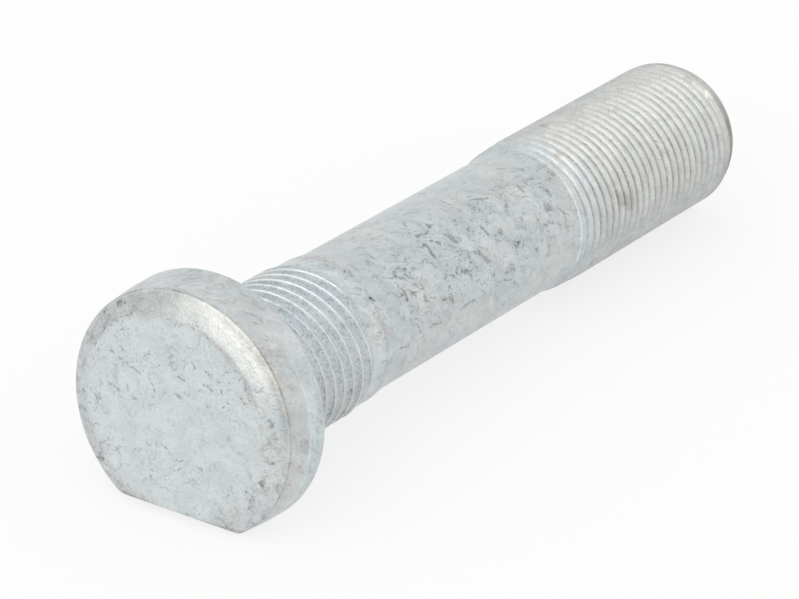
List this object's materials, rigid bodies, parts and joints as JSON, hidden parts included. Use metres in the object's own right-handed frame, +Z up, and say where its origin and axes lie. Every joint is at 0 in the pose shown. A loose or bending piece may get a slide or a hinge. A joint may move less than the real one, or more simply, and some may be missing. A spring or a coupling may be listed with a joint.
{
  "type": "wheel stud",
  "caption": "Steel wheel stud: round bevelled head with one flat, helically ribbed press zone, plain shank and a fine right-hand thread, lying at rest on its side.",
  "frame": {"origin": "centre of the head's seat, on the stud's axis", "axes": "+X along the stud toward the thread end, which lies 1.66 degrees below level as it rests on the ground; +Z up, away from the head's flat; +Y completes a right-hand frame"},
  "size_m": [0.1133, 0.0314, 0.0287],
  "materials": {
    "zinc_steel": "satin zinc plate over rough forged and rolled steel"
  },
  "bodies": {
    "root": {"wheel_stud": "zinc_steel"}
  },
  "joints": []
}
